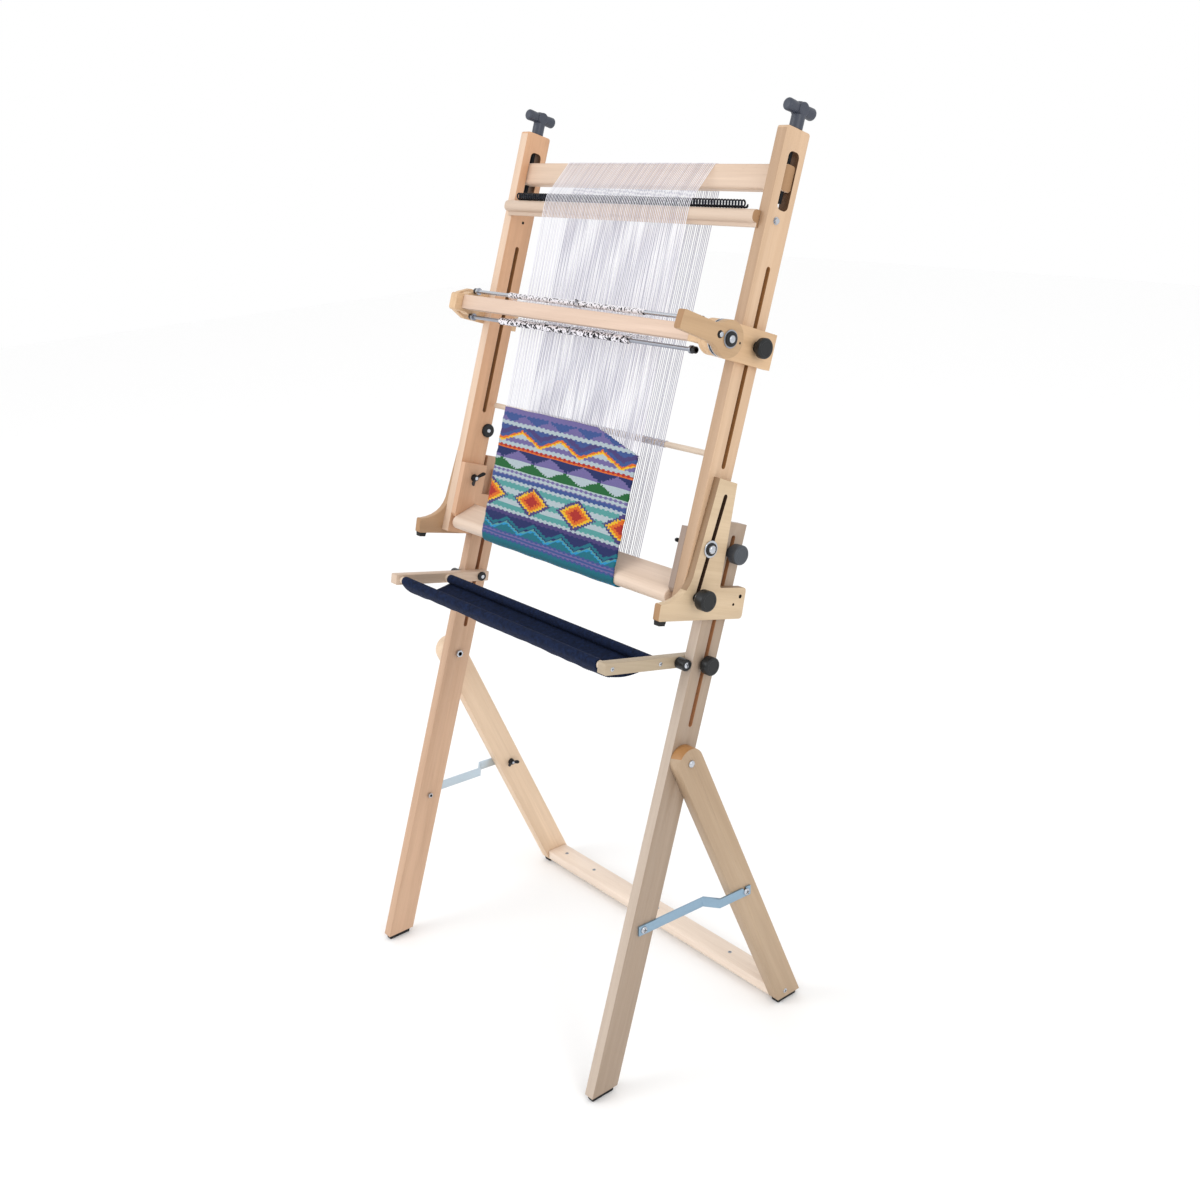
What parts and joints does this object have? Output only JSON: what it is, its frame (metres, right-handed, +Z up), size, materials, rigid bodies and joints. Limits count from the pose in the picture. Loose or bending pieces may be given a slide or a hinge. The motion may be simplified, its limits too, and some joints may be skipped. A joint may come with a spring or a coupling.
{
  "type": "tapestry loom",
  "caption": "Upright tapestry loom with a shedding device on a folding maple floor stand, with a cloth trough, warped and half woven.",
  "frame": {"origin": "middle of the loom's outline on the floor", "axes": "+Z up, X across the loom with the handle at +X, -Y towards the weaver"},
  "size_m": [0.7118, 0.5081, 1.4963],
  "materials": {
    "maple": "smooth, oiled",
    "steel": "zinc-plated, satin",
    "black_steel": "black oxide",
    "black_plastic": "semi-gloss",
    "rubber": "matt",
    "cotton": "twisted cord",
    "weaving": "wool weft-faced weave",
    "denim": "heavy cotton"
  },
  "bodies": {
    "stand_front": {"front_leg_left": "maple", "front_leg_right": "maple", "hinge_bolt_left": "steel", "hinge_bolt_right": "steel", "brace_pivot_bolt_left": "steel", "brace_pivot_bolt_right": "steel", "foot_pad_front_left": "rubber", "foot_pad_front_right": "rubber"},
    "rear_frame": {"rear_leg_left": "maple", "rear_leg_right": "maple", "foot_pad_rear_left": "rubber", "foot_pad_rear_right": "rubber", "rear_crossbar": "maple"},
    "brace_left": {"brace_left": "steel"},
    "brace_right": {"brace_right": "steel"},
    "brace_bolt_left": {"brace_wing_bolt_left": "black_steel"},
    "brace_bolt_right": {"brace_wing_bolt_right": "black_steel"},
    "loom_frame": {"upright_left": "maple", "upright_right": "maple", "beam_plate_left": "maple", "beam_plate_right": "maple", "bottom_beam": "maple", "front_bar": "maple", "warp_spring": "black_steel", "foot_bolt_left": "steel", "warp_front": "cotton", "warp_back": "cotton", "tapestry": "weaving", "turnaround_rod": "maple"},
    "table_foot_left": {"table_foot_left": "maple"},
    "table_foot_right": {"table_foot_right": "maple"},
    "foot_knob_right": {"foot_knob_right": "black_plastic"},
    "height_bolt_left": {"height_bolt_left": "steel"},
    "height_bolt_right": {"height_bolt_right": "steel"},
    "stand_knob_left": {"stand_knob_left": "black_plastic"},
    "stand_knob_right": {"stand_knob_right": "black_plastic"},
    "top_beam": {"top_beam": "maple"},
    "tension_handle_left": {"tension_handle_left": "black_plastic"},
    "tension_handle_right": {"tension_handle_right": "black_plastic"},
    "shed_carriage": {"shed_bracket_left": "maple", "shed_bracket_right": "maple"},
    "shed_knob_left": {"shed_knob_left": "black_plastic"},
    "shed_knob_right": {"shed_knob_right": "black_plastic"},
    "heddle_frame": {"shed_arm_left": "maple", "shed_arm_right": "maple", "shed_pivot_left": "steel", "shed_pivot_right": "steel", "heddle_bar": "maple", "heddle_rod_upper": "steel", "heddle_rod_lower": "steel", "shed_handle": "maple"},
    "trough_carrier": {"trough_knob_left": "black_plastic", "trough_knob_right": "black_plastic"},
    "trough": {"trough_arm_left": "maple", "trough_arm_right": "maple", "trough_peg_left": "rubber", "trough_peg_right": "rubber", "trough_dowel_front": "maple", "trough_dowel_rear": "maple", "trough_sling": "denim"}
  },
  "joints": [
    {"name": "rear_frame_fold", "type": "hinge", "parent": "stand_front", "child": "rear_frame", "pos_m": [-0.00485, -0.04504, 0.53833], "axis": [-1, 0, 0], "range_deg": [0, 34]},
    {"name": "brace_left_swing", "type": "hinge", "parent": "stand_front", "child": "brace_left", "pos_m": [-0.31485, -0.13698, 0.2728], "axis": [-1, 0, 0], "range_deg": [0, 107.6]},
    {"name": "brace_bolt_left_turn", "type": "hinge", "parent": "rear_frame", "child": "brace_bolt_left", "pos_m": [-0.33485, 0.06824, 0.26487], "axis": [1, 0, 0], "continuous": true},
    {"name": "brace_right_swing", "type": "hinge", "parent": "stand_front", "child": "brace_right", "pos_m": [0.30515, -0.13698, 0.2728], "axis": [-1, 0, 0], "range_deg": [0, 107.6]},
    {"name": "brace_bolt_right_turn", "type": "hinge", "parent": "rear_frame", "child": "brace_bolt_right", "pos_m": [0.32515, 0.06824, 0.26487], "axis": [1, 0, 0], "continuous": true},
    {"name": "loom_height", "type": "slide", "parent": "stand_front", "child": "loom_frame", "axis": [0, 0.3272, 0.9449], "range_m": [-0.04, 0.02]},
    {"name": "stand_knob_left_turn", "type": "hinge", "parent": "loom_frame", "child": "stand_knob_left", "pos_m": [-0.33485, 0.06472, 0.85008], "axis": [1, 0, 0], "continuous": true},
    {"name": "table_foot_left_slide", "type": "slide", "parent": "loom_frame", "child": "table_foot_left", "axis": [0, -0.4059, -0.9139], "range_m": [0, 0.05]},
    {"name": "height_bolt_left_turn", "type": "hinge", "parent": "loom_frame", "child": "height_bolt_left", "pos_m": [-0.33485, 0.01153, 0.87031], "axis": [1, 0, 0], "continuous": true},
    {"name": "shed_knob_left_turn", "type": "hinge", "parent": "shed_carriage", "child": "shed_knob_left", "pos_m": [-0.33485, 0.11178, 1.1556], "axis": [1, 0, 0], "continuous": true},
    {"name": "tension_handle_left_turn", "type": "hinge", "parent": "loom_frame", "child": "tension_handle_left", "pos_m": [-0.31485, 0.21449, 1.45222], "axis": [0, 0.3272, 0.9449], "range_deg": [-2161, 2521]},
    {"name": "stand_knob_right_turn", "type": "hinge", "parent": "loom_frame", "child": "stand_knob_right", "pos_m": [0.32515, 0.06472, 0.85008], "axis": [1, 0, 0], "continuous": true},
    {"name": "table_foot_right_slide", "type": "slide", "parent": "loom_frame", "child": "table_foot_right", "axis": [0, -0.4059, -0.9139], "range_m": [0, 0.05]},
    {"name": "height_bolt_right_turn", "type": "hinge", "parent": "loom_frame", "child": "height_bolt_right", "pos_m": [0.32515, 0.01153, 0.87031], "axis": [1, 0, 0], "continuous": true},
    {"name": "shed_knob_right_turn", "type": "hinge", "parent": "shed_carriage", "child": "shed_knob_right", "pos_m": [0.32515, 0.11178, 1.1556], "axis": [1, 0, 0], "continuous": true},
    {"name": "tension_handle_right_turn", "type": "hinge", "parent": "loom_frame", "child": "tension_handle_right", "pos_m": [0.30515, 0.21449, 1.45222], "axis": [0, 0.3272, 0.9449], "range_deg": [-2161, 2521]},
    {"name": "foot_knob_right_turn", "type": "hinge", "parent": "loom_frame", "child": "foot_knob_right", "pos_m": [0.32515, -0.01892, 0.80176], "axis": [1, 0, 0], "continuous": true},
    {"name": "top_beam_slide", "type": "slide", "parent": "loom_frame", "child": "top_beam", "axis": [0, 0.3272, 0.9449], "range_m": [-0.012, 0.014], "deforming": ["warp_front", "warp_back"]},
    {"name": "shed_height", "type": "slide", "parent": "loom_frame", "child": "shed_carriage", "axis": [0, 0.3272, 0.9449], "range_m": [-0.16, 0.105]},
    {"name": "shed_turn", "type": "hinge", "parent": "shed_carriage", "child": "heddle_frame", "pos_m": [-0.00485, 0.03812, 1.17973], "axis": [1, 0, 0], "range_deg": [-38, 38]},
    {"name": "trough_height", "type": "slide", "parent": "stand_front", "child": "trough_carrier", "axis": [0, 0.3272, 0.9449], "range_m": [-0.09, 0.005]},
    {"name": "trough_tilt", "type": "hinge", "parent": "trough_carrier", "child": "trough", "pos_m": [-0.00485, 0.007, 0.68339], "axis": [-1, 0, 0], "range_deg": [0, 14.5]}
  ],
  "couplings": [
    {"joint": "brace_left_swing", "follows": "rear_frame_fold", "ratio": 3.16},
    {"joint": "brace_right_swing", "follows": "rear_frame_fold", "ratio": 3.16},
    {"joint": "table_foot_right_slide", "follows": "table_foot_left_slide", "ratio": 1},
    {"joint": "tension_handle_left_turn", "follows": "top_beam_slide", "rad_per_m": 3141.6},
    {"joint": "tension_handle_right_turn", "follows": "top_beam_slide", "rad_per_m": 3141.6}
  ]
}
